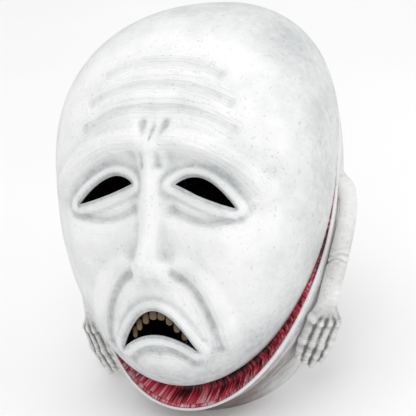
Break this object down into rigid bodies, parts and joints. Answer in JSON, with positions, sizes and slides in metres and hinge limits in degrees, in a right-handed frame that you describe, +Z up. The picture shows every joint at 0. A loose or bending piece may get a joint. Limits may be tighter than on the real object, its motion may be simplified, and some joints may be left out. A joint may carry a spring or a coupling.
{
  "type": "costume mask",
  "caption": "Full-head rubber costume mask: a pale drooping face in a raw red band, a hood with an open neck rim, teeth behind the mouth and two thin arms at the sides.",
  "frame": {"origin": "on the surface that the neck rim stands on, under the middle of the bounding box", "axes": "+Z up, the face looks towards -Y and leans back by 20 degrees, +X towards the wearer's left"},
  "size_m": [0.2736, 0.3068, 0.3291],
  "materials": {
    "pale_rubber": "matt and chalky",
    "raw_red_rubber": "satin, ribbed",
    "dark_flesh": "satin",
    "bone": "satin"
  },
  "bodies": {
    "root": {"face_shell": "pale_rubber", "hood": "pale_rubber", "arm_left": "pale_rubber", "arm_right": "pale_rubber", "raw_band": "raw_red_rubber", "gum_strip": "dark_flesh", "tooth_1": "bone", "tooth_2": "bone", "tooth_3": "bone", "tooth_4": "bone", "tooth_5": "bone", "tooth_6": "bone", "tooth_7": "bone", "tooth_8": "bone"}
  },
  "joints": []
}
